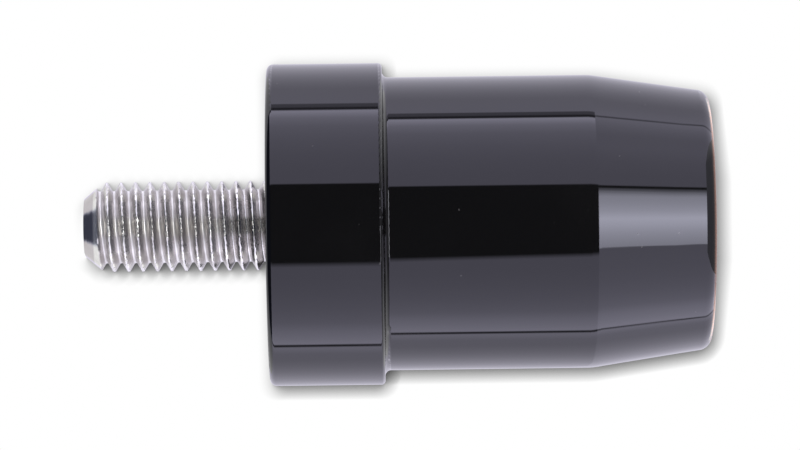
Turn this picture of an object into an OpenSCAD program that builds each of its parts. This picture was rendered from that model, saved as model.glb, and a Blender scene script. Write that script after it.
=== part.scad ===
// Bar end weight for a motorbike handlebar, with its mounting stud.
// A solid turned weight hangs off the end of the bar and damps its buzz. A steel stud is screwed
// into a blind tapped hole in the weight and screws on into the insert inside the bar.
// The part stands on its outer end face with the stud pointing up the Z axis.

/* [Flange] */
// Diameter of the flange, which covers the end of the bar
flange_d = 28; // [27.5:0.5:40]
// Width of the flange along the axis
flange_w = 10; // [4:0.5:20]
// Rounding of the flange rim next to the bar
seat_edge_r = 0.55; // [0.2:0.05:1.5]
// Rounding of the flange rim next to the barrel
step_edge_r = 0.35; // [0.1:0.05:0.7]

/* [Barrel] */
// Diameter of the plain barrel
barrel_d = 25.5; // [16:0.5:26]
// Length of the plain barrel, from the flange to the nose
barrel_len = 18; // [8:0.5:40]
// Radius of the turned fillet where the barrel meets the flange
step_fillet_r = 0.5; // [0.1:0.05:0.85]

/* [Nose] */
// Length of the tapered nose
nose_len = 10.3; // [5:0.1:20]
// How far the nose narrows on the radius, before its edge is rounded
nose_narrowing = 1.55; // [0.5:0.05:3]
// Radius of the soft bend where the barrel turns into the nose
nose_bend_r = 5.5; // [1:0.5:12]
// Rounding of the outer edge, between the nose and the end face
end_edge_r = 1.05; // [0.4:0.05:3]

/* [Thread] */
// Nominal diameter of the stud thread
thread_d = 8; // [6:1:12]
// Pitch of the stud thread
thread_pitch = 1.25; // [1:0.25:1.75]
// How far the rolled crests stop short of the nominal radius
crest_short = 0.1; // [0.02:0.01:0.12]
// Radial play between the screwed-in stud and the tapped hole
thread_play = 0.02; // [0.01:0.01:0.06]

/* [Stud] */
// Length of stud that stands out of the flange
stud_out = 16; // [10:0.5:40]
// Length of stud screwed into the weight
stud_in = 14; // [8:0.5:20]
// Width of the flat face at each end of the stud
stud_flat_d = 5; // [3:0.1:5.2]
// Slope of the bevel at each end of the stud, from its axis, in degrees
stud_bevel_angle = 40; // [30:5:60]

/* [Tapped hole] */
// Room left in the hole beyond the end of the stud
hole_spare = 2; // [0.5:0.5:4]
// Full angle of the drill point at the bottom of the hole
drill_angle = 118; // [90:1:140]
// How far the countersunk mouth is wider than the nominal thread, on the radius
mouth_wider = 0.3; // [0.1:0.1:1]

/* [Hidden] */
$fn = 180;

flange_r = flange_d / 2;
barrel_r = barrel_d / 2;
nose_end_r = barrel_r - nose_narrowing;

// Heights above the end face that the part stands on
step_z = nose_len + barrel_len;
seat_z = step_z + flange_w;
stud_top_z = seat_z + stud_out;
stud_bottom_z = seat_z - stud_in;

// Shares of the pitch in a metric thread: from the nominal radius to the pitch line, from the crest
// to the root, and the flat width of the crest
PITCH_LINE_SHARE = 0.3248;
DEPTH_SHARE = 0.6134;
CREST_SHARE = 0.125;
FLANK_ANGLE = 30;
crest_r = thread_d / 2 - crest_short;
pitch_r = thread_d / 2 - PITCH_LINE_SHARE * thread_pitch;
thread_depth = DEPTH_SHARE * thread_pitch;
groove_w = thread_pitch * (1 - CREST_SHARE);
groove_count = floor(stud_out / thread_pitch);
stud_flat_r = stud_flat_d / 2;

// Both ends of the stud are bevelled at the same slope, from its flat face out to its wall
top_bevel = (crest_r - stud_flat_r) / tan(stud_bevel_angle);
bottom_bevel = (pitch_r - stud_flat_r) / tan(stud_bevel_angle);

// The hole is drawn at the pitch line of its thread, where its flanks meet those of the stud
hole_r = pitch_r + thread_play;
drill_point = hole_r / tan(drill_angle / 2);
mouth_r = thread_d / 2 + mouth_wider;
mouth_depth = mouth_r - hole_r;
// How far cutting shapes run past the face that they cut
OVER = 1;

function unit(v) = v / norm(v);

// What an arc takes off a corner of a section. The arc is tangent to both sides of the corner,
// whose directions away from it are given.
module corner_cut(corner, side_a, side_b, radius) {
    a = unit(side_a);
    b = unit(side_b);
    middle = unit(a + b);
    half_angle = acos(a * middle);
    reach = radius / tan(half_angle);
    centre = middle * radius / sin(half_angle);
    translate(corner)
        difference() {
            polygon([centre, a * reach, -middle * radius, b * reach]);
            translate(centre) circle(r = radius);
        }
}

// Half section of the weight, from the end face at z = 0 up to the seat against the bar. It is
// the round blank, less what is turned away beside the barrel and the nose, less its corners.
module weight_section() {
    end_corner = [nose_end_r, 0];
    bend_corner = [barrel_r, nose_len];
    step_corner = [barrel_r, step_z];
    rim_corner = [flange_r, step_z];
    seat_corner = [flange_r, seat_z];
    clear_r = flange_r + OVER;
    slope = bend_corner - end_corner;
    inward = [-1, 0];
    outward = [1, 0];
    up = [0, 1];
    down = [0, -1];
    difference() {
        square([flange_r, seat_z]);
        difference() {
            polygon([end_corner - slope, bend_corner, step_corner, [clear_r, step_z], [clear_r, -slope.y]]);
            corner_cut(step_corner, down, outward, step_fillet_r);
        }
        corner_cut(end_corner, inward, slope, end_edge_r);
        corner_cut(bend_corner, -slope, up, nose_bend_r);
        corner_cut(rim_corner, inward, up, step_edge_r);
        corner_cut(seat_corner, down, inward, seat_edge_r);
    }
}

// Blind hole with its drill point, and the countersunk mouth that leads the thread in
module tapped_hole() {
    wall_bottom_z = seat_z - stud_in - hole_spare;
    rotate_extrude()
        polygon([
            [0, wall_bottom_z - drill_point],
            [hole_r, wall_bottom_z],
            [hole_r, seat_z - mouth_depth],
            [mouth_r + OVER, seat_z + OVER],
            [0, seat_z + OVER],
        ]);
}

module weight_body() {
    color("#141416")
        difference() {
            rotate_extrude() weight_section();
            tapped_hole();
        }
}

// Half section of the stud, at its crest radius where it stands out and at its pitch line where it
// is screwed in
module stud_blank() {
    polygon([
        [0, stud_bottom_z],
        [stud_flat_r, stud_bottom_z],
        [pitch_r, stud_bottom_z + bottom_bevel],
        [pitch_r, seat_z],
        [crest_r, seat_z],
        [crest_r, stud_top_z - top_bevel],
        [stud_flat_r, stud_top_z],
        [0, stud_top_z],
    ]);
}

// Section of one groove between two crests, with its middle at z = 0
module thread_groove() {
    root_r = crest_r - thread_depth;
    flank_w = thread_depth * tan(FLANK_ANGLE);
    root_w = groove_w - 2 * flank_w;
    translate([root_r, 0])
        polygon([
            [0, -root_w / 2],
            [thread_depth, -groove_w / 2],
            [thread_depth + OVER, -groove_w / 2],
            [thread_depth + OVER, groove_w / 2],
            [thread_depth, groove_w / 2],
            [0, root_w / 2],
        ]);
}

// The thread that shows is cut as rings at its pitch, so that the crests keep a true round wall to
// seat in an insert. Its section and depth are those of the real thread, without the lead.
module threaded_stud() {
    color("silver")
        rotate_extrude()
            difference() {
                stud_blank();
                for (k = [0 : groove_count - 1])
                    translate([0, seat_z + (k + 0.5) * thread_pitch]) thread_groove();
            }
}

weight_body();
threaded_stud();
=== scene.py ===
# %% [markdown]
# # A bar end weight in gloss black, with a bright threaded stud
#
# The real object is a heavy turned plug that hangs off the end of a motorbike's handlebar. It
# stands here on its flat outer end with the stud pointing up, and the camera is turned on its
# side, so that the picture shows it lying with the stud to the left.
#
# Two things make its look. The black coat is nearly a mirror, so what it shows is the studio
# around it, and the stud is bare steel with a rolled thread. This notebook therefore spends most
# of its cells on three things: the light tent, the coat, and the thread.

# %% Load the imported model
import math

import bmesh
import bpy
import numpy as np
from mathutils import Matrix, Vector


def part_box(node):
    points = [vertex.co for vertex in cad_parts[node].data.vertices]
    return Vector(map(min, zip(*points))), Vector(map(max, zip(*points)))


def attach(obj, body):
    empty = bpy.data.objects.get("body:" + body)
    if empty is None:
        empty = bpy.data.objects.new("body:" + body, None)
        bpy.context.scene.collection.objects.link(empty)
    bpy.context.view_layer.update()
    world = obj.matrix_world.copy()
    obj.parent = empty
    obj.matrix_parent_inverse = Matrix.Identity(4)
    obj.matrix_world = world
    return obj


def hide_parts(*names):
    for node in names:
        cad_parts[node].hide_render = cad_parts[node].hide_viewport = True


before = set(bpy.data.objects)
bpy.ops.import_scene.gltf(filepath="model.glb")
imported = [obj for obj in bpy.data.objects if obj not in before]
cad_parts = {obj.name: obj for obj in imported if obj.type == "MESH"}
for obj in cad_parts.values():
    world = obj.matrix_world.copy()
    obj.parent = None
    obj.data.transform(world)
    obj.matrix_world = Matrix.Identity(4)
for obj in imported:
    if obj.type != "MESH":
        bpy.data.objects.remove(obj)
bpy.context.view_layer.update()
MM = 0.001

# %% [markdown]
# The looks hang on a few heights of the part: the seat, which is the flat face of the flange
# against the bar, and the two ends of the stud. They could be typed in again, but they are read
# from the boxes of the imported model, so they can't drift away from it.

# %% Sizes that the looks need
body_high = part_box("weight_body")[1]
stud_low, stud_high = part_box("threaded_stud")
seat_z = body_high.z
stud_top_z = stud_high.z
print("seat at", round(seat_z / MM, 2), "mm, stud top at", round(stud_top_z / MM, 2), "mm")

# %% [markdown]
# ## The camera
#
# The photograph is a long-lens picture taken from straight in front of the part. A long lens
# keeps the two ends of the part nearly the same size, and its distance can be read from how much
# the near side of each rim bulges past the rim's own plane. The camera looks along +Y, the
# picture's right is the part's downward direction, and the picture's up is +X.

# %% Place the camera
PIXELS_WIDE = 800
PIXELS_PER_MM = 11.48
SENSOR_MM = 36
CAMERA_DISTANCE = 403 * MM
CAMERA_HEIGHT = 28.9 * MM
AIM_HEIGHT = 26.87 * MM
AIM_SIDE = -0.12 * MM
ROLL = math.radians(0.73)
NEAREST = 0.01
FARTHEST = 10

camera_data = bpy.data.cameras.new("camera")
camera_data.sensor_width = SENSOR_MM
camera_data.lens = CAMERA_DISTANCE / MM * PIXELS_PER_MM * SENSOR_MM / PIXELS_WIDE
camera_data.clip_start = NEAREST
camera_data.clip_end = FARTHEST
camera = bpy.data.objects.new("camera", camera_data)
bpy.context.scene.collection.objects.link(camera)

eye = Vector((AIM_SIDE, -CAMERA_DISTANCE, CAMERA_HEIGHT))
aim = Vector((AIM_SIDE, 0, AIM_HEIGHT))
back = (eye - aim).normalized()
level_right = (Vector((0, 0, -1)) + back * back.z).normalized()
level_up = back.cross(level_right)
picture_right = level_right * math.cos(ROLL) - level_up * math.sin(ROLL)
picture_up = level_up * math.cos(ROLL) + level_right * math.sin(ROLL)
turn = Matrix((picture_right, picture_up, back)).transposed()
camera.matrix_world = Matrix.Translation(eye) @ turn.to_4x4()
bpy.context.scene.camera = camera
print("lens, mm:", round(camera_data.lens, 1))

# %% [markdown]
# ## Small helpers for shader nodes
#
# Every finish below is a graph of nodes. It could be wired by hand in the shader editor, but a
# script can be read and changed in one place. These helpers add a node, set its sockets from
# plain values or from other nodes' outputs, and keep the cells short enough to read.

# %% Node helpers
def put(tree, kind, **settings):
    """Adds a node and sets its own properties, such as an operation."""
    node = tree.nodes.new(kind)
    for name, value in settings.items():
        setattr(node, name, value)
    return node


def feed(tree, node, **sockets):
    """Sets sockets by name, from a value or from another node's output."""
    for name, value in sockets.items():
        socket = node.inputs[int(name[1:])] if name[0] == "i" and name[1:].isdigit() else None
        if socket is None:
            socket = node.inputs[name.replace("_", " ")]
        if isinstance(value, bpy.types.NodeSocket):
            tree.links.new(value, socket)
        else:
            socket.default_value = value
    return node


def maths(tree, operation, *values):
    """The result of a Math node, such as a sum, a product or the larger of two values."""
    node = put(tree, "ShaderNodeMath", operation=operation)
    feed(tree, node, **{f"i{k}": value for k, value in enumerate(values)})
    return node.outputs[0]


def spread(tree, value, low, high, to_low, to_high, smooth=False):
    """Maps a value from one range to another, held at its ends."""
    kind = "SMOOTHSTEP" if smooth else "LINEAR"
    node = put(tree, "ShaderNodeMapRange", interpolation_type=kind)
    feed(tree, node, i0=value, i1=low, i2=high, i3=to_low, i4=to_high)
    return node.outputs[0]


def blank_material(name):
    """A material with an empty graph and its output node."""
    material = bpy.data.materials.new(name)
    material.use_nodes = True
    tree = material.node_tree
    tree.nodes.clear()
    return material, tree, put(tree, "ShaderNodeOutputMaterial")


print("node helpers are ready")

# %% Helpers for places, rays and colours
WHITE = (1, 1, 1, 1)


def own_place(tree):
    """Where a point lies on its own object, as a vector."""
    return put(tree, "ShaderNodeTexCoord").outputs["Object"]


def split(tree, vector):
    """The X, Y and Z of a vector."""
    parts = feed(tree, put(tree, "ShaderNodeSeparateXYZ"), Vector=vector).outputs
    return parts["X"], parts["Y"], parts["Z"]


def attribute(tree, name):
    """A number that the mesh keeps at each of its points."""
    return put(tree, "ShaderNodeAttribute", attribute_name=name).outputs["Fac"]


def camera_ray(tree):
    """1 for what the camera sees itself, and 0 for reflections and light."""
    return put(tree, "ShaderNodeLightPath").outputs["Is Camera Ray"]


def one_less(tree, value):
    """What is left of 1."""
    return maths(tree, "SUBTRACT", 1.0, value)


def slant_of(tree):
    """How a ray meets a surface: 0 squarely and 1 along it."""
    return put(tree, "ShaderNodeLayerWeight").outputs["Facing"]


def grey(value):
    """An even grey as a colour."""
    return (value,) * 3 + (1,)


def blend_colours(tree, share, first, second):
    """The first colour at 0 and the second at 1."""
    node = put(tree, "ShaderNodeMix", data_type="RGBA")
    feed(tree, node, i0=share, i6=first, i7=second)
    return node.outputs[2]


def ramp_of(tree, share, stops):
    """A ramp of colours over a share from 0 to 1, from pairs of a place and a colour."""
    ramp = feed(tree, put(tree, "ShaderNodeValToRGB"), Fac=share)
    elements = ramp.color_ramp.elements
    elements.remove(elements[1])
    for k, (position, colour) in enumerate(stops):
        element = elements[0] if k == 0 else elements.new(position)
        element.position = position
        element.color = [*colour, 1]
    return ramp.outputs["Color"]


print("helpers for places, rays and colours are ready")

# %% Helpers for surfaces
MARK_DEPTH = 0.02 * MM


def glow_of(tree, **sockets):
    """A surface that gives light."""
    return feed(tree, put(tree, "ShaderNodeEmission"), **sockets).outputs[0]


def see_through(tree):
    """A surface that isn't there."""
    return put(tree, "ShaderNodeBsdfTransparent").outputs[0]


def blend_surfaces(tree, share, first, second):
    """The first surface at 0 and the second at 1."""
    return feed(tree, put(tree, "ShaderNodeMixShader"), i0=share, i1=first, i2=second).outputs[0]


def add_surfaces(tree, first, second):
    """Both surfaces at once."""
    return feed(tree, put(tree, "ShaderNodeAddShader"), i0=first, i1=second).outputs[0]


def bumped(tree, strength, height):
    """The surface's direction, tipped by fine marks."""
    node = put(tree, "ShaderNodeBump")
    feed(tree, node, Strength=strength, Distance=MARK_DEPTH, Height=height)
    return node.outputs[0]


print("fine marks are", MARK_DEPTH / MM, "mm deep")

# %% [markdown]
# ## The light tent
#
# Gloss black has almost no colour of its own. In the photograph it shows a white tent: two bright
# side walls that grow brighter towards the back, a dark slot at the front where the camera looks
# in, and a thin dark seam at each side where the wall meets the backdrop. Each of these draws a
# straight band along the part. Area lamps would give rectangles with even light, so the tent is
# one round wall instead, whose glow depends on the angle round the part's axis.
#
# The angle is counted from the camera's direction, positive on the side that shows at the top of
# the picture. One node group turns it into the glow of the walls and their seams, because the
# tapered nose mirrors a card on the floor that has to show the same walls.

# %% Node group: the glow of the tent's walls by angle
HALF_TURN = 180
TENT_PEAK = 3.2
WALL_TINT = (1.0, 0.97, 1.13)
FRONT_GLOW = ((0, 0.95), (38, 1.0), (50, 1.07), (62, 1.19))
BACK_GLOW = ((105, 1.14), (113, 0.98), (122, 0.98), (140, 1.02), (156, 0.96), (172, 0.84))
RISE_AT = (74, 82)
SHOULDER_GLOW = 0.5
SEAM_SOFT = 0.6


def seam(angle, half, dark, rise, after, shoulder=0.0):
    """A seam in the cloth: its angle and half width, its glow, and the glow before and after it."""
    return dict(angle=angle, half=half, dark=dark, rise=rise, after=after, shoulder=shoulder)


# The seams at the top and at the bottom of the picture
TENT_SEAMS = (
    seam(90.7, half=1.1, dark=0.15, rise=(1.38, 1.75, 2.7), after=1.3, shoulder=3.2),
    seam(95.9, half=0.75, dark=0.12, rise=(1.38, 1.75, 2.1), after=1.6),
)
NOSE_SEAMS = (
    seam(92.8, half=0.35, dark=0.5, rise=(1.15, 1.3, 1.55), after=1.45),
    seam(97.2, half=0.4, dark=0.35, rise=(1.38, 1.75, 2.1), after=1.6),
)


def new_group(name, inputs, outputs):
    """An empty shader node group with named sockets."""
    group = bpy.data.node_groups.new(name, "ShaderNodeTree")
    for label, kind, value in inputs:
        socket = group.interface.new_socket(label, in_out="INPUT", socket_type=kind)
        socket.default_value = value
    for label, kind in outputs:
        group.interface.new_socket(label, in_out="OUTPUT", socket_type=kind)
    return group, put(group, "NodeGroupInput"), put(group, "NodeGroupOutput")


def wall_stops(line):
    """Angle and glow pairs for one side of the tent, from the camera's direction to the back."""
    first, last = line["angle"] - line["half"], line["angle"] + line["half"]
    rise_at = RISE_AT + (first - SEAM_SOFT,)
    stops = list(FRONT_GLOW) + list(zip(rise_at, line["rise"]))
    stops += [(first, line["dark"]), (last, line["dark"])]
    if line["shoulder"]:
        stops.append((last + SEAM_SOFT, SHOULDER_GLOW))
        stops.append((last + SEAM_SOFT + line["shoulder"], SHOULDER_GLOW))
    outer = last + 2 * SEAM_SOFT + line["shoulder"]
    return stops + [(outer, line["after"])] + list(BACK_GLOW)


def wall_ramp(group, share, line):
    """The glow of one side of the tent, as a ramp over the share of a half turn."""
    stops = []
    for degrees, level in wall_stops(line):
        stops.append((degrees / HALF_TURN, [level / TENT_PEAK * part for part in WALL_TINT]))
    return ramp_of(group, share, stops)


def glowing_walls(name, seams):
    """Turns a signed share of a half turn into the glow of the wall in that direction."""
    inputs = (("Signed share", "NodeSocketFloat", 0.0),)
    group, given, out = new_group(name, inputs, (("Glow", "NodeSocketColor"),))
    signed = given.outputs["Signed share"]
    share = maths(group, "ABSOLUTE", signed)
    top, bottom = [wall_ramp(group, share, line) for line in seams]
    on_top = maths(group, "GREATER_THAN", signed, 0.0)
    feed(group, out, Glow=blend_colours(group, on_top, bottom, top))
    return group


tent_group = glowing_walls("tent_walls", TENT_SEAMS)
nose_group = glowing_walls("nose_walls", NOSE_SEAMS)
print("stops on a side:", len(wall_stops(TENT_SEAMS[0])))

# %% [markdown]
# The tent's cloth is a sheet hung right round the part. It could be a flat backdrop on each side,
# but a round wall meets every reflection at a known angle, and that angle is all that its glow
# depends on. It stands 3 metres away, so that the part's own width hardly matters.

# %% Bend a sheet into a wall round the part
TENT_RADIUS = 3.0
TENT_HEIGHT = 2.4
TENT_STEPS = 180


def link_stage(name, mesh):
    """Puts a piece of studio into the scene, seen by reflections and light but not by the camera."""
    thing = bpy.data.objects.new(name, mesh)
    bpy.context.scene.collection.objects.link(thing)
    thing.visible_camera = False
    thing.visible_shadow = False
    return thing


def mesh_of(name, shape):
    """Turns what bmesh has built into a mesh."""
    mesh = bpy.data.meshes.new(name)
    shape.to_mesh(mesh)
    shape.free()
    return mesh


def round_wall(name, radius, height, steps):
    """A vertical wall right round the Z axis."""
    shape = bmesh.new()
    angles = [2 * math.pi * k / steps for k in range(steps)]
    rings = []
    for z in (-height / 2, height / 2):
        places = [(radius * math.cos(a), radius * math.sin(a), z) for a in angles]
        rings.append([shape.verts.new(place) for place in places])
    for k in range(steps):
        n = (k + 1) % steps
        shape.faces.new((rings[0][n], rings[0][k], rings[1][k], rings[1][n]))
    return link_stage(name, mesh_of(name, shape))


tent = round_wall("light_tent", TENT_RADIUS, TENT_HEIGHT, TENT_STEPS)
print("tent faces:", len(tent.data.polygons))

# %% [markdown]
# The slot is the gap in the cloth that the camera looks through. It could be a real gap with a
# dark room behind it, but as a part of the tent's finish its edges can be as soft as the picture
# shows them. Its lower edge leans, because the band that it draws on the barrel narrows towards
# the nose. A white card hangs in it, higher than the place that the flange mirrors. The stud
# mirrors that card, so its middle is lighter than that of the flange.

# %% Let the tent glow, with its dark slot
# The slot's edges are in degrees from the camera's direction, and heights are in metres
SLOT_GLOW = 0.085
SLOT_TOP = 28.95
SLOT_BOTTOM = 28.3
BOTTOM_LEAN = 2.4
LEAN_FROM = 0.02
LEAN_TO = -0.15
EDGE_SOFT = 0.5
BOTTOM_SOFT = 1.9
HUNG_FROM = (0.13, 0.17)
HUNG_TO = (0.28, 0.31)
HUNG_GLOW = 3.0
# A thin dim line runs along both sides of the hung card, in the middle of the slot's soft edge
HUNG_RIM = 0.1
EDGE_MIDDLE = 0.5


def past_edge(tree, signed, edge, soft):
    """0 before an edge and 1 past it, for an edge given in degrees or as a socket of half turns."""
    place = edge / HALF_TURN if isinstance(edge, (int, float)) else edge
    gap = maths(tree, "SUBTRACT", signed, place)
    return spread(tree, gap, -soft / HALF_TURN, soft / HALF_TURN, 0.0, 1.0)


def wall_light(tree, group, signed, in_wall, slot_glow):
    """The tent's emission: the walls' glow outside the slot, and the slot's own inside it."""
    walls = feed(tree, put(tree, "ShaderNodeGroup", node_tree=group), Signed_share=signed)
    return blend_colours(tree, in_wall, slot_glow, walls.outputs["Glow"])


def signed_share(tree, place):
    """A place's angle round the axis from the camera's direction, in half turns, and its height."""
    x, y, z = split(tree, place)
    angle = maths(tree, "ARCTAN2", x, maths(tree, "MULTIPLY", y, -1.0))
    return maths(tree, "DIVIDE", angle, math.pi), z


tent_material, tree, output = blank_material("tent_glow")
signed, height = signed_share(tree, own_place(tree))
lower_edge = (SLOT_BOTTOM / HALF_TURN, (SLOT_BOTTOM - BOTTOM_LEAN) / HALF_TURN)
lean = spread(tree, height, LEAN_FROM, LEAN_TO, *lower_edge)
bottom_wall = past_edge(tree, maths(tree, "MULTIPLY", signed, -1.0), lean, BOTTOM_SOFT)
top_wall = past_edge(tree, signed, SLOT_TOP, EDGE_SOFT)
in_wall = maths(tree, "MAXIMUM", top_wall, bottom_wall)
above_low = spread(tree, height, *HUNG_FROM, 0.0, 1.0)
hung = maths(tree, "MULTIPLY", above_low, spread(tree, height, *HUNG_TO, 1.0, 0.0))
slot_glow = spread(tree, hung, 0.0, 1.0, SLOT_GLOW / TENT_PEAK, HUNG_GLOW / TENT_PEAK)
light = wall_light(tree, tent_group, signed, in_wall, slot_glow)
on_edge = maths(tree, "PINGPONG", in_wall, EDGE_MIDDLE)
edge_line = maths(tree, "MULTIPLY", on_edge, hung)
strength = spread(tree, edge_line, 0.0, EDGE_MIDDLE, TENT_PEAK, HUNG_RIM * TENT_PEAK)
feed(tree, output, Surface=glow_of(tree, Color=light, Strength=strength))
tent.data.materials.append(tent_material)
print("slot, degrees:", round(SLOT_TOP + SLOT_BOTTOM, 2))

# %% [markdown]
# The world closes the tent from above. Cards overhead could do it too, but the world's own light
# needs no mesh. It is dark over the camera's side, which the bevel at the tip of the stud and the
# rim of the flange mirror, and bright over the back. Below, the world gives no light, because
# the floor is there. For the camera the world is exactly white, which gives the clean background
# of a catalogue picture.

# %% World light
CEILING_GLOW = 0.86
DARK_CEILING = 0.07
DARK_TINT = (0.8, 0.9, 1.3, 1)
# Where the dark side ends, as the part of a direction that points along Y
DARK_END = 0.12
DARK_SOFT = 0.04
world = bpy.data.worlds.new("studio")
bpy.context.scene.world = world
world.use_nodes = True
tree = world.node_tree
tree.nodes.clear()
direction = put(tree, "ShaderNodeTexCoord").outputs["Generated"]
_, backward, upward = split(tree, direction)
over_back = spread(tree, backward, DARK_END - DARK_SOFT, DARK_END + DARK_SOFT, 0.0, 1.0)
ceiling = spread(tree, over_back, 0.0, 1.0, DARK_CEILING, CEILING_GLOW)
above = maths(tree, "MULTIPLY", ceiling, maths(tree, "GREATER_THAN", upward, 0.0))
to_camera = camera_ray(tree)
brightness = maths(tree, "MAXIMUM", above, to_camera)
plain = maths(tree, "MAXIMUM", over_back, to_camera)
tinted = blend_colours(tree, plain, DARK_TINT, WHITE)
sky = feed(tree, put(tree, "ShaderNodeBackground"), Color=tinted, Strength=brightness)
feed(tree, put(tree, "ShaderNodeOutputWorld"), Surface=sky.outputs[0])
print("ceiling glows from", DARK_CEILING, "to", CEILING_GLOW)

# %% [markdown]
# ## The floor and the mirror card
#
# The part stands on a small round of pale floor. The tapered nose leans 8.5 degrees towards that
# floor, so it mirrors what lies in front of its own foot. In the photograph that is a bright
# panel between the two edges of the slot, and the same walls beside it.
#
# A card on the floor shows them. It is made by the rule of the mirror itself: a ray from the
# camera is turned back by the leaning wall, and the card is ruled with the lines on which such
# rays land, one line for each place round the nose. Each line knows the direction of its rays,
# so the card can glow as the tent does in that direction and the bands run straight on into the
# nose. It only glows so for rays as flat as those, so the step under the flange stays dark.

# %% Rule the card
NOSE_NARROWING = 1.55
NOSE_LENGTH = 10.3
NOSE_LEAN = math.atan(NOSE_NARROWING / NOSE_LENGTH)
FOOT_RADIUS = 11.2 * MM
CARD_RISE = 0.1 * MM
CARD_MIDDLE = 10 * MM
CARD_END = 11.8 * MM
CARD_SIDE = 84
CARD_STEP = 1
# In front of the foot the card starts a little way out, and beside it right under the nose
START_OUT = 2.1 * MM
START_IN = -0.5 * MM
START_MIDDLE = 7
START_TURNS = (15, 34)


def mirrored(turn):
    """Where the nose sends a camera ray that meets it at an angle: heading and drop."""
    upright = math.cos(NOSE_LEAN)
    push = 2 * upright * math.cos(turn)
    heading = Vector((push * upright * math.sin(turn), 1 - push * upright * math.cos(turn)))
    return heading, push * math.sin(NOSE_LEAN)


def rule_card(name):
    """The ruled card, with the ray's angle and the distance from the foot kept at each point."""
    shape = bmesh.new()
    share_layer = shape.verts.layers.float.new("signed_share")
    reach_layer = shape.verts.layers.float.new("reach")
    columns = []
    for degrees in range(-CARD_SIDE, CARD_SIDE + CARD_STEP, CARD_STEP):
        turn = math.radians(degrees)
        outward = Vector((math.sin(turn), -math.cos(turn)))
        heading, drop = mirrored(turn)
        step = outward * math.tan(NOSE_LEAN) + heading / drop
        along = step.normalized()
        tilt = FOOT_RADIUS * math.sin(turn) / CAMERA_DISTANCE
        share = (math.atan2(heading.x, -heading.y) + tilt) / math.pi
        start = np.interp(abs(degrees - START_MIDDLE), START_TURNS, (START_OUT, START_IN))
        column = []
        for reach in (start, CARD_MIDDLE, CARD_END * step.length):
            spot = outward * FOOT_RADIUS + along * reach
            vertex = shape.verts.new((spot.x, spot.y, CARD_RISE))
            vertex[share_layer] = share
            vertex[reach_layer] = reach
            column.append(vertex)
        columns.append(column)
    for left, right in zip(columns, columns[1:]):
        for k in range(len(left) - 1):
            shape.faces.new((left[k], left[k + 1], right[k + 1], right[k]))
    return link_stage(name, mesh_of(name, shape))


card = rule_card("mirror_card")
card.visible_diffuse = False
print("card faces:", len(card.data.polygons))

# %% [markdown]
# The card's finish could be a picture of the tent laid on it, but the card already knows at each
# point which way its rays go. So the finish asks the same node group as the tent for the glow in
# that direction, and puts the bright panel where the slot would be, as a ramp of levels that is
# brightest near its middle. Seen steeply, the card only gives the soft light of a pale floor.

# %% Card finish: the tent's walls
CARD_TOP_LEVEL = 1.0
CARD_BOTTOM_LEVEL = 1.16
LEVEL_TURN = 0.2
PANEL_TOP = 26.9
PANEL_BOTTOM = 22.1
# Steepness goes from 0, along the card, to 1, straight down on it
FLAT_ENOUGH = 0.40
TOO_STEEP = 0.46
FOOT_ZONE = 6 * MM


def steepness_of(tree):
    """How steeply a ray meets a level card: 0 along it and 1 straight down on it."""
    return one_less(tree, slant_of(tree))


card_material, tree, output = blank_material("card_glow")
signed = attribute(tree, "signed_share")
other_way = maths(tree, "MULTIPLY", signed, -1.0)
top_wall = past_edge(tree, signed, SLOT_TOP, EDGE_SOFT)
bottom_wall = past_edge(tree, other_way, PANEL_BOTTOM, EDGE_SOFT)
in_wall = maths(tree, "MAXIMUM", top_wall, bottom_wall)
light = wall_light(tree, nose_group, signed, in_wall, grey(SLOT_GLOW / TENT_PEAK))
side_levels = (CARD_BOTTOM_LEVEL * TENT_PEAK, CARD_TOP_LEVEL * TENT_PEAK)
wall_level = spread(tree, signed, -LEVEL_TURN, LEVEL_TURN, *side_levels)
flat = spread(tree, steepness_of(tree), FLAT_ENOUGH, TOO_STEEP, 1.0, 0.0)
at_foot = maths(tree, "LESS_THAN", attribute(tree, "reach"), FOOT_ZONE)
shown = maths(tree, "MAXIMUM", flat, at_foot)
walls = glow_of(tree, Color=light, Strength=maths(tree, "MULTIPLY", wall_level, shown))
print("panel, degrees:", PANEL_TOP + PANEL_BOTTOM)

# %% Card finish: the bright panel, and the pale light from above
PANEL_PEAK = 5.9
PANEL_TINT = (1.0, 1.0, 1.1)
PANEL_SPAN = 30
PANEL_LEVELS = (
    (-24, 3.0), (-16, 3.75), (-10, 4.4), (-4, 5.3), (1.5, 5.9), (8, 4.6),
    (14, 3.9), (20, 3.4), (23.5, 1.9), (25.6, 0.8), (27.5, 0.35),
)
STEEP_GLOW = 0.25
STEEP_SIDE_GLOW = 1.35
STEEP_FROM = 40
STEEP_TO = 120
span = spread(tree, signed, -PANEL_SPAN / HALF_TURN, PANEL_SPAN / HALF_TURN, 0.0, 1.0)
stops = []
for degrees, level in PANEL_LEVELS:
    colour = [level / PANEL_PEAK / PANEL_TINT[2] * part for part in PANEL_TINT]
    stops.append((0.5 + degrees / (2 * PANEL_SPAN), colour))
strength = maths(tree, "MULTIPLY", flat, PANEL_PEAK * PANEL_TINT[2])
panel = glow_of(tree, Color=ramp_of(tree, span, stops), Strength=strength)
below_top = past_edge(tree, other_way, -PANEL_TOP, EDGE_SOFT)
on_panel = maths(tree, "MULTIPLY", below_top, one_less(tree, in_wall))
both = blend_surfaces(tree, on_panel, walls, panel)
turned = maths(tree, "ABSOLUTE", signed)
steep_at = (STEEP_FROM / HALF_TURN, STEEP_TO / HALF_TURN)
beside = spread(tree, turned, *steep_at, STEEP_GLOW, STEEP_SIDE_GLOW)
under = glow_of(tree, Strength=maths(tree, "MULTIPLY", one_less(tree, shown), beside))
feed(tree, output, Surface=add_surfaces(tree, both, under))
card.data.materials.append(card_material)
print("levels on the panel:", len(PANEL_LEVELS))

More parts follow.
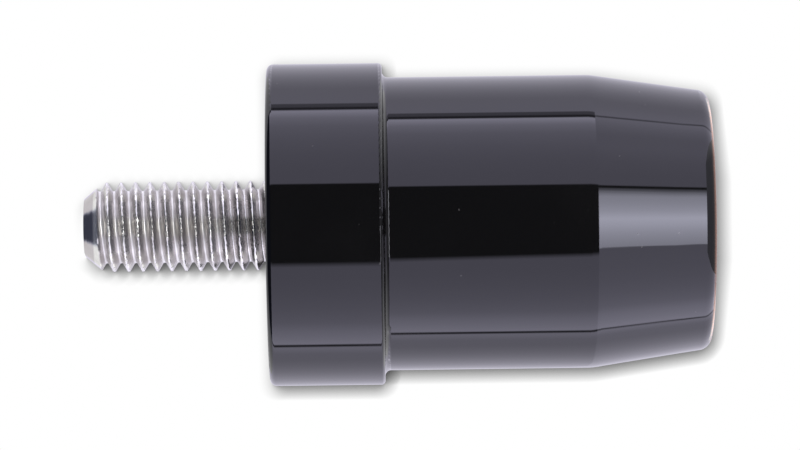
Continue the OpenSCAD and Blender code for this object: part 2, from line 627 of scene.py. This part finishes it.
# %% [markdown]
# The same bright panel lies lower and further out in the real tent, where the roots and crests of
# the thread and the corner under the flange mirror it as thin bright lines. A lamp could give
# them too, but it would also light everything else. A second card stands for the panel, and flat
# rays pass it by, so the camera and the barrel don't see it.

# %% Add the low panel
LOW_FROM = 80 * MM
LOW_TO = 220 * MM
LOW_SIDE = 25
LOW_STEP = 5
LOW_GLOW = 4.2
LOW_STEEPNESS = (0.27, 0.3)
shape = bmesh.new()
edges = []
for degrees in range(-LOW_SIDE, LOW_SIDE + LOW_STEP, LOW_STEP):
    turn = math.radians(degrees)
    outward = Vector((math.sin(turn), -math.cos(turn), 0))
    edges.append([shape.verts.new(outward * radius) for radius in (LOW_FROM, LOW_TO)])
for left, right in zip(edges, edges[1:]):
    shape.faces.new((left[0], left[1], right[1], right[0]))
low_panel = link_stage("low_panel", mesh_of("low_panel", shape))
low_panel.visible_diffuse = False

low_material, tree, output = blank_material("low_panel_glow")
steep = spread(tree, steepness_of(tree), *LOW_STEEPNESS, 0.0, 1.0)
surface = blend_surfaces(tree, steep, see_through(tree), glow_of(tree, Strength=LOW_GLOW))
feed(tree, output, Surface=surface)
low_panel.data.materials.append(low_material)
print("low panel faces:", len(low_panel.data.polygons))

# %% [markdown]
# The floor is a round of white board. It could be an endless plane, but a small round whose rim
# fades away keeps the clean white background. A little glow of its own makes it white to the
# camera, and it still takes the part's shadow. Close to the foot, mirrors see it glow more at the
# two sides than in the middle, as the walls do. Seen edge-on it would draw a grey line across
# the picture, so it clears away there and serves only the views from above.

# %% Make the floor
FLOOR_RADIUS = 70 * MM
FLOOR_WHITE = 0.8
FLOOR_FADE = (38 * MM, 68 * MM)
FLOOR_LIFT = 0.5
FOOT_GLOW = (0.32, 1.5)
FOOT_SIDES = (5.5 * MM, 9.5 * MM)
FOOT_END = (11.8 * MM, 12.8 * MM)
EDGE_ON_FROM = 0.80
EDGE_ON_TO = 0.85
# The floor clears away for mirrors a little sooner than for the camera
SOONER = 0.13
shape = bmesh.new()
bmesh.ops.create_circle(shape, cap_ends=True, segments=TENT_STEPS, radius=FLOOR_RADIUS)
floor = link_stage("floor", mesh_of("floor", shape))
floor.visible_camera = True

floor_material, tree, output = blank_material("pale_floor")
pale = feed(tree, put(tree, "ShaderNodeBsdfDiffuse"), Color=grey(FLOOR_WHITE)).outputs[0]
to_camera = camera_ray(tree)
place = own_place(tree)
off_axis = maths(tree, "ABSOLUTE", split(tree, place)[0])
length = put(tree, "ShaderNodeVectorMath", operation="LENGTH")
from_axis = feed(tree, length, i0=place).outputs["Value"]
beside_foot = spread(tree, off_axis, *FOOT_SIDES, *FOOT_GLOW)
foot_glow = spread(tree, from_axis, *FOOT_END, beside_foot, FOOT_GLOW[0])
own_glow = spread(tree, to_camera, 0.0, 1.0, foot_glow, FLOOR_LIFT)
lit = add_surfaces(tree, pale, glow_of(tree, Strength=own_glow))
slant = maths(tree, "MULTIPLY_ADD", one_less(tree, to_camera), SOONER, slant_of(tree))
edge_on = spread(tree, slant, EDGE_ON_FROM, EDGE_ON_TO, 0.0, 1.0)
at_rim = spread(tree, from_axis, *FLOOR_FADE, 0.0, 1.0, smooth=True)
faded = maths(tree, "MAXIMUM", edge_on, at_rim)
feed(tree, output, Surface=blend_surfaces(tree, faded, lit, see_through(tree)))
floor.data.materials.append(floor_material)
print("floor across, mm:", round(2 * FLOOR_RADIUS / MM))

# %% [markdown]
# ## The soft shadow on white
#
# A tight soft shadow follows the part's outline on the white ground, a little below it and to its
# right. It could be cast by a lamp on a wall behind the part, but the part stands on its end
# here and that shadow would fall far from it. So a sheet of white through the part's middle
# takes its shade from the distance to the part's own walls, with the light leaning in from the
# upper left. The sheet is only there for a camera that faces it squarely.

# %% Make the white sheet
SHEET_SIDE = 60 * MM
SHEET_LOW = -40 * MM
SHEET_HIGH = 100 * MM
SHADOW_REACH = 1.3 * MM
SHADOW_DEPTH = 1.0
# Beyond the end face the shade is deeper and reaches further, most of all near the axis
END_REACHES = (2.1 * MM, 1.25 * MM)
END_DEPTHS = (1.4, 1.1)
END_SIDES = (3.5 * MM, 11.5 * MM)
END_BLEND = 0.3 * MM
SHADE_SAMPLES = 16
LIGHT_FROM = (0.52, -0.75, 0.41)
SQUARE_FROM = 0.01
SQUARE_TO = 0.02
mesh = bpy.data.meshes.new("white_sheet")
corners = ((-1, SHEET_LOW), (1, SHEET_LOW), (1, SHEET_HIGH), (-1, SHEET_HIGH))
mesh.from_pydata([(side * SHEET_SIDE, 0, z) for side, z in corners], [], [(0, 1, 2, 3)])
sheet = link_stage("white_sheet", mesh)
sheet.visible_camera = True
sheet.visible_glossy = False
sheet.visible_diffuse = False
sheet.visible_transmission = False

sheet_material, tree, output = blank_material("sheet_white")
x, _, height = split(tree, own_place(tree))
off_axis = maths(tree, "ABSOLUTE", x)
near_part = put(tree, "ShaderNodeAmbientOcclusion", samples=SHADE_SAMPLES)
lean = put(tree, "ShaderNodeCombineXYZ")
feed(tree, lean, X=LIGHT_FROM[0], Y=LIGHT_FROM[1], Z=LIGHT_FROM[2])
end_reach = spread(tree, off_axis, *END_SIDES, *END_REACHES)
end_depth = spread(tree, off_axis, *END_SIDES, *END_DEPTHS)
distance = spread(tree, height, -END_BLEND, END_BLEND, end_reach, SHADOW_REACH)
depth = spread(tree, height, -END_BLEND, END_BLEND, end_depth, SHADOW_DEPTH)
feed(tree, near_part, Distance=distance, Normal=lean.outputs[0])
shade = maths(tree, "MULTIPLY", one_less(tree, near_part.outputs["AO"]), depth)
white = glow_of(tree, Strength=one_less(tree, shade))
askew = spread(tree, slant_of(tree), SQUARE_FROM, SQUARE_TO, 0.0, 1.0)
from_behind = put(tree, "ShaderNodeNewGeometry").outputs["Backfacing"]
hidden = maths(tree, "MAXIMUM", askew, from_behind)
feed(tree, output, Surface=blend_surfaces(tree, hidden, white, see_through(tree)))
sheet.data.materials.append(sheet_material)
print("sheet, mm:", round(2 * SHEET_SIDE / MM), "by", round((SHEET_HIGH - SHEET_LOW) / MM))

# %% [markdown]
# ## Effects shared by both finishes
#
# Turned metal carries very fine rings from the tool. They could be modelled, but they are far too
# fine for a mesh, so they are a height for the bump nodes. They show through the black coat and
# on the steel, so they are a node group, built once and placed in each material with its own
# values.

# %% Node group: turning marks
def turning_marks():
    """Rings round the Z axis: noise that changes fast along Z and slowly round it."""
    inputs = (
        ("Rings per metre", "NodeSocketFloat", 4000.0),
        ("Drift round the part", "NodeSocketFloat", 60.0),
    )
    group, given, out = new_group("turning_marks", inputs, (("Height", "NodeSocketFloat"),))
    x, y, z = split(group, own_place(group))
    drift, rings = given.outputs["Drift round the part"], given.outputs["Rings per metre"]
    stretched = put(group, "ShaderNodeCombineXYZ")
    feed(
        group,
        stretched,
        X=maths(group, "MULTIPLY", x, drift),
        Y=maths(group, "MULTIPLY", y, drift),
        Z=maths(group, "MULTIPLY", z, rings),
    )
    noise = put(group, "ShaderNodeTexNoise")
    feed(group, noise, Vector=stretched.outputs[0], Scale=1.0, Detail=3.0, Roughness=0.6)
    feed(group, out, Height=noise.outputs["Fac"])
    return group


def place_group(tree, group, **sockets):
    """The outputs of a node group, placed in a material with its own values."""
    return feed(tree, put(tree, "ShaderNodeGroup", node_tree=group), **sockets).outputs


def inputs_of(group):
    """The names of a group's inputs."""
    return [socket.name for socket in group.interface.items_tree if socket.in_out == "INPUT"]


marks_group = turning_marks()
print("turning marks take", inputs_of(marks_group))

# %% [markdown]
# Anything that was handled carries dust specks and a thin film. They could be painted on, but
# random cells and noise give them without a picture. A speck is drawn in the few cells whose
# random number is high, and the film is a slow noise with soft borders.

# %% Node group: dust
SPECK_RARITY = 6.0
FILM_RANGE = (0.42, 0.72)


def dust_specks():
    """Small round specks at random places, and a thin film that comes and goes."""
    inputs = (
        ("Specks per metre", "NodeSocketFloat", 700.0),
        ("Speck size", "NodeSocketFloat", 0.12),
        ("Film size", "NodeSocketFloat", 90.0),
    )
    outputs = (("Specks", "NodeSocketFloat"), ("Film", "NodeSocketFloat"))
    group, given, out = new_group("dust_specks", inputs, outputs)
    place = own_place(group)
    cells = put(group, "ShaderNodeTexVoronoi", feature="F1")
    feed(group, cells, Vector=place, Scale=given.outputs["Specks per metre"])
    parts = feed(group, put(group, "ShaderNodeSeparateColor"), Color=cells.outputs["Color"])
    chosen = maths(group, "POWER", parts.outputs[0], SPECK_RARITY)
    size = maths(group, "MULTIPLY", chosen, given.outputs["Speck size"])
    specks = maths(group, "LESS_THAN", cells.outputs["Distance"], size)
    film = put(group, "ShaderNodeTexNoise")
    feed(group, film, Vector=place, Scale=given.outputs["Film size"], Detail=4.0)
    patches = spread(group, film.outputs["Fac"], *FILM_RANGE, 0.0, 1.0, smooth=True)
    feed(group, out, Specks=specks, Film=patches)
    return group


dust_group = dust_specks()
print("dust takes", inputs_of(dust_group))

# %% [markdown]
# ## Gloss black coat
#
# On the real part this is a hard gloss coat over turned steel. It could be a clear coat over a
# black base, but one Principled surface with a very dark base and a raised index of refraction
# gives the same mirror and its stronger rims. The coat's reflections lean towards violet, so the
# specular tint holds that colour. On the outer edge of the nose a mask by height paints a
# highlight: it gives that edge alone a brown base colour, which the tent's light turns into a
# bright warm rim.

# %% Build the coat
COAT_INDEX = 1.65
COAT_TINT = (0.9, 0.9, 1.0, 1)
COAT_BLACK = (0.0018, 0.0016, 0.0018, 1)
DUST_GREY = (0.09, 0.085, 0.08, 1)
# Painted highlight: the brown base colour that makes the nose's outer edge a bright warm rim
RIM_HIGHLIGHT_BROWN = (0.39, 0.21, 0.15, 1)
EDGE_FOOT = 0.08 * MM
EDGE_TOP = 0.3 * MM
FILM_GREY = 0.035
COAT_ROUGH = (0.028, 0.05)
COAT_BUMP = 0.02
coat, tree, output = blank_material("gloss_black")
marks = place_group(tree, marks_group, Rings_per_metre=6000.0, Drift_round_the_part=150.0)
dust = place_group(tree, dust_group, Specks_per_metre=900.0, Speck_size=0.09, Film_size=70.0)

height = split(tree, own_place(tree))[2]
# Painted highlight: a mask by height that is 1 on the nose's outer edge and 0 above it
painted_rim_highlight = spread(tree, height, EDGE_FOOT, EDGE_TOP, 1.0, 0.0, smooth=True)
film = maths(tree, "MULTIPLY", dust["Film"], FILM_GREY)
dusty = maths(tree, "MAXIMUM", film, dust["Specks"])
base = blend_colours(tree, dusty, COAT_BLACK, DUST_GREY)

surface = put(tree, "ShaderNodeBsdfPrincipled")
feed(
    tree,
    surface,
    Base_Color=blend_colours(tree, painted_rim_highlight, base, RIM_HIGHLIGHT_BROWN),
    Roughness=spread(tree, dust["Film"], 0.0, 1.0, *COAT_ROUGH),
    IOR=COAT_INDEX,
    Specular_Tint=COAT_TINT,
    Normal=bumped(tree, COAT_BUMP, marks["Height"]),
)
feed(tree, output, Surface=surface.outputs[0])

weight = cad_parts["weight_body"]
weight.data.materials.clear()
weight.data.materials.append(coat)
print("coat nodes:", len(tree.nodes))

# %% [markdown]
# ## The rolled thread
#
# The stud is an M8 by 1.25 thread. A bump map can't give its saw-tooth outline, so the thread is
# real geometry. One section of the thread, from crest to crest, is swept along a helix: each
# column of points climbs one pitch in a full turn, which makes it a right-hand thread. At the tip
# the section is held under a cone, which gives the bevel, and at the weight it is held under the
# cone of the hole's countersunk mouth.

# %% Thread sizes
# Lengths are in mm, and the crest is where it crosses the +X side, as a height
PITCH = 1.25
CREST_R = 3.9
ROOT_R = 3.135
CREST_FLAT = 0.15
ROOT_ROUND = 0.17
FLANK = math.radians(30)
STUD_FLAT_R = 2.5
BEVEL = math.radians(40)
PITCH_LINE_R = 3.594
MOUTH_R = 4.3
CREST_AT_PLUS_X = 39.86
CREST_ROUND = 0.06
CREST_STEPS = 2
ROOT_STEPS = 3
FLANK_POINTS = 4
print("thread depth, mm:", round(CREST_R - ROOT_R, 3))

# %% Section of one pitch
def round_off(corner, before, after, radius, steps):
    """Points of an arc tangent to both sides of a corner, in the order they are passed."""
    a = (before - corner).normalized()
    b = (after - corner).normalized()
    half = a.angle(b) / 2
    reach = radius / math.tan(half)
    centre = corner + (a + b).normalized() * (radius / math.sin(half))
    start = corner + a * reach - centre
    sweep = (math.pi - 2 * half) * (1 if a.cross(b) < 0 else -1)
    points = []
    for k in range(steps + 1):
        t = sweep * k / steps
        x = start.x * math.cos(t) - start.y * math.sin(t)
        y = start.x * math.sin(t) + start.y * math.cos(t)
        points.append(centre + Vector((x, y)))
    return points


def thread_section():
    """Offsets along the axis and radii for one pitch, from mid-crest to mid-crest, in mm."""
    depth = CREST_R - ROOT_R
    run = depth * math.tan(FLANK)
    crest = CREST_FLAT / 2
    root = PITCH / 2 - crest - run
    top = Vector((0, CREST_R))
    shoulder = Vector((crest, CREST_R))
    foot = Vector((crest + run, ROOT_R))
    valley = Vector((PITCH / 2, ROOT_R))
    print("root flat, mm:", round(2 * root, 3))
    above = round_off(shoulder, top, foot, CREST_ROUND, CREST_STEPS)
    below = round_off(foot, shoulder, valley, ROOT_ROUND, ROOT_STEPS)
    flank = [above[-1].lerp(below[0], k / FLANK_POINTS) for k in range(1, FLANK_POINTS)]
    half = [top] + above + flank + below + [valley]
    other = [Vector((PITCH - p.x, p.y)) for p in reversed(half[1:-1])]
    return half + other


section = thread_section()
print("points in a pitch:", len(section))

# %% [markdown]
# A rolled thread isn't perfect: its crests carry small burrs, and its start on the tip is ragged.
# They could be a bump too, but they show in the outline, so the points of the crests are moved
# a little at random, always the same way. The sweep also keeps at each point whether it lies on
# a crest or in a root, for the finish to use.

# %% Sweep the section along its helix
ROUND_STEPS = 200
SWEEP_BELOW_SEAT = 1.1
MOUTH_GAP = 0.03
BURR = 0.02
BURR_SEED = 8
CLEAN_BEVEL = 0.8
CREST_ZONE = 0.03
ROOT_ZONE = 0.03
SAME_PLACE = 1e-7


def tip_radius(z):
    """The radius of the tip's cone at a height, in mm."""
    return STUD_FLAT_R + (stud_top_z / MM - z) * math.tan(BEVEL)


def held_radius(radius, z):
    """The thread's radius at a height, held inside the mouth's cone and the tip's cone, in mm."""
    mouth = max(PITCH_LINE_R, MOUTH_R - MOUTH_GAP - (seat_z / MM - z))
    return min(radius, mouth, tip_radius(z))


def make_thread(thread_low):
    """The helical thread from a height in the hole's mouth up to the tip, open at both ends."""
    top = stud_top_z / MM
    turns = math.ceil((top - thread_low) / PITCH) + 2
    per_pitch = len(section)
    first = CREST_AT_PLUS_X
    while first > thread_low - PITCH:
        first -= PITCH
    chance = np.random.default_rng(BURR_SEED)
    shape = bmesh.new()
    crest_layer = shape.verts.layers.float.new("crest")
    root_layer = shape.verts.layers.float.new("root")
    columns = []
    for i in range(ROUND_STEPS):
        around = 2 * math.pi * i / ROUND_STEPS
        lead = PITCH * i / ROUND_STEPS
        column = []
        for j in range(turns * per_pitch):
            offset = section[j % per_pitch]
            z = first - PITCH + lead + PITCH * (j // per_pitch) + offset.x
            tip = tip_radius(z)
            on_start = offset.y > tip and top - z > CLEAN_BEVEL
            on_crest = on_start or CREST_R - CREST_ZONE < min(offset.y, tip)
            burr = chance.uniform(-BURR, BURR, 2) if on_crest else (0, 0)
            z = min(max(z + burr[0], thread_low), top)
            r = held_radius(offset.y - abs(burr[1]), z)
            point = Vector((r * math.cos(around), r * math.sin(around), z)) * MM
            vertex = shape.verts.new(point)
            vertex[crest_layer] = float(on_crest)
            vertex[root_layer] = float(offset.y < ROOT_R + ROOT_ZONE)
            column.append(vertex)
        columns.append(column)
    for i in range(ROUND_STEPS):
        here, there = columns[i], columns[(i + 1) % ROUND_STEPS]
        shift = per_pitch if i == ROUND_STEPS - 1 else 0
        for j in range(len(here) - 1 - shift):
            a, b = there[j + shift], there[j + shift + 1]
            shape.faces.new((here[j], a, b, here[j + 1]))
    bmesh.ops.remove_doubles(shape, verts=shape.verts, dist=SAME_PLACE)
    return shape


thread_low = seat_z / MM - SWEEP_BELOW_SEAT
shape = make_thread(thread_low)
print("thread points:", len(shape.verts))

# %% [markdown]
# The sweep is open at its two ends. On the real stud the tip is a flat face, and the other end
# goes down into the weight. Inside the hole nobody sees the thread, so it ends there in a plain
# wall at the thread's pitch line, which saves many faces.

# %% Close the tip and add the wall inside the hole
SHARP_FROM = math.radians(35)


def open_rim(shape, z):
    """The points of an open edge at height z, in order round the axis."""
    level = z * MM
    at_level = [v for v in shape.verts if abs(v.co.z - level) < SAME_PLACE]
    rim = [v for v in at_level if any(e.is_boundary for e in v.link_edges)]
    return sorted(rim, key=lambda v: math.atan2(v.co.y, v.co.x))


def close_ring(shape, z, rings):
    """Adds rings of points below or above an open rim at height z, then a flat cap."""
    rim = open_rim(shape, z)
    for radius, level in rings:
        fresh = []
        for v in rim:
            flat = Vector((v.co.x, v.co.y, 0)).normalized() * radius * MM
            fresh.append(shape.verts.new(flat + Vector((0, 0, level * MM))))
        for k in range(len(rim)):
            n = (k + 1) % len(rim)
            shape.faces.new((rim[k], rim[n], fresh[n], fresh[k]))
        rim = fresh
    shape.faces.new(rim)
    return len(rim)


bottom_bevel = (PITCH_LINE_R - STUD_FLAT_R) / math.tan(BEVEL)
stud_bottom = stud_low.z / MM
print("tip rim:", close_ring(shape, stud_top_z / MM, []))
low_rings = [(PITCH_LINE_R, stud_bottom + bottom_bevel), (STUD_FLAT_R, stud_bottom)]
print("low rim:", close_ring(shape, thread_low, low_rings))
bmesh.ops.recalc_face_normals(shape, faces=shape.faces)
thread_mesh = mesh_of("stud_thread", shape)
for face in thread_mesh.polygons:
    face.use_smooth = True
thread_mesh.set_sharp_from_angle(angle=SHARP_FROM)
thread = bpy.data.objects.new("stud_thread", thread_mesh)
bpy.context.scene.collection.objects.link(thread)
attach(thread, "root")
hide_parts("threaded_stud")
print("thread faces:", len(thread_mesh.polygons))

# %% [markdown]
# ## Bright steel
#
# The stud is bare rolled steel. The rolls pressed hardest on its crests and in its roots and
# burnished them, and there the base colour is also lifted close to white as a painted highlight,
# so they show as bright lines. Its flanks are satin with small stains. Near the weight the rolls
# left a cleaner mirror than towards the tip. The bevel at the tip was turned, so it is smooth.
#
# One metal with an even roughness would look like plastic foil. So the colour, the roughness and
# the share of metal are each blended by the masks that the thread keeps, by height along the
# stud, and by the film of the dust group.

# %% Bright steel: its zones
BEVEL_FROM = stud_top_z - 0.95 * MM
BEVEL_TO = stud_top_z - 0.8 * MM
DULL_FROM = seat_z + 2.5 * MM
DULL_TO = seat_z + 5.0 * MM


def by_height(inner, outer):
    """One value next to the weight and another towards the tip."""
    return spread(tree, height, DULL_FROM, DULL_TO, inner, outer)


def by_mask(mask, outside, inside):
    """One value outside a mask and another inside it."""
    return spread(tree, mask, 0.0, 1.0, outside, inside)


steel, tree, output = blank_material("bright_steel")
marks = place_group(tree, marks_group, Rings_per_metre=9000.0, Drift_round_the_part=500.0)
dust = place_group(tree, dust_group, Specks_per_metre=2500.0, Speck_size=0.3, Film_size=400.0)
on_crest = attribute(tree, "crest")
in_root = attribute(tree, "root")
# Crests and roots: burnished by the rolls, and also where the painted highlight goes
burnished_and_highlight = maths(tree, "MAXIMUM", on_crest, in_root)
height = split(tree, own_place(tree))[2]
on_bevel = spread(tree, height, BEVEL_FROM, BEVEL_TO, 0.0, 1.0)
print("dull from", round((DULL_FROM - seat_z) / MM, 2), "mm above the seat")

# %% Bright steel: its colour
STEEL = (0.66, 0.64, 0.625, 1)
# Painted highlight: a near-white base colour that makes the crests and roots show as bright lines
STEEL_PAINTED_HIGHLIGHT = (0.98, 0.97, 0.95, 1)
STEEL_BEVEL = (0.62, 0.585, 0.61, 1)
STEEL_STAIN = (0.48, 0.45, 0.42, 1)
STAIN_SHARE = 0.5
# The painted highlight colour goes on the crests and roots, and plain steel goes elsewhere
highlighted_steel = blend_colours(tree, burnished_and_highlight, STEEL, STEEL_PAINTED_HIGHLIGHT)
ends = blend_colours(tree, on_bevel, highlighted_steel, STEEL_BEVEL)
stains = maths(tree, "MULTIPLY", dust["Film"], STAIN_SHARE)
stained = blend_colours(tree, stains, ends, STEEL_STAIN)
print("stains cover up to", STAIN_SHARE)

# %% Bright steel: its roughness and its metal
SATIN = (0.22, 0.32)
FLANK_ROUGH = (0.0, 0.03)
ROOT_ROUGH = (0.22, 0.34)
CREST_ROUGH = (0.1, 0.12)
BEVEL_ROUGH = 0.1
DULL_METAL = 0.92
ROLLED_METAL = 0.8
STEEL_BUMP = 0.25
flank = maths(tree, "ADD", by_mask(dust["Film"], *SATIN), by_height(*FLANK_ROUGH))
in_thread = by_mask(in_root, flank, by_height(*ROOT_ROUGH))
rolled = by_mask(on_crest, in_thread, by_height(*CREST_ROUGH))
worn_metal = by_mask(burnished_and_highlight, by_height(1.0, DULL_METAL), by_height(1.0, ROLLED_METAL))
surface = put(tree, "ShaderNodeBsdfPrincipled")
feed(
    tree,
    surface,
    Base_Color=stained,
    Metallic=by_mask(on_bevel, worn_metal, 1.0),
    Roughness=by_mask(on_bevel, rolled, BEVEL_ROUGH),
    Normal=bumped(tree, STEEL_BUMP, marks["Height"]),
)
feed(tree, output, Surface=surface.outputs[0])
thread_mesh.materials.append(steel)
print("steel nodes:", len(tree.nodes))

# %% [markdown]
# ## The end
#
# The picture keeps its colours as they are, because a filmic curve would grey the white ground.

# %% Picture settings
bpy.context.scene.view_settings.view_transform = "Standard"
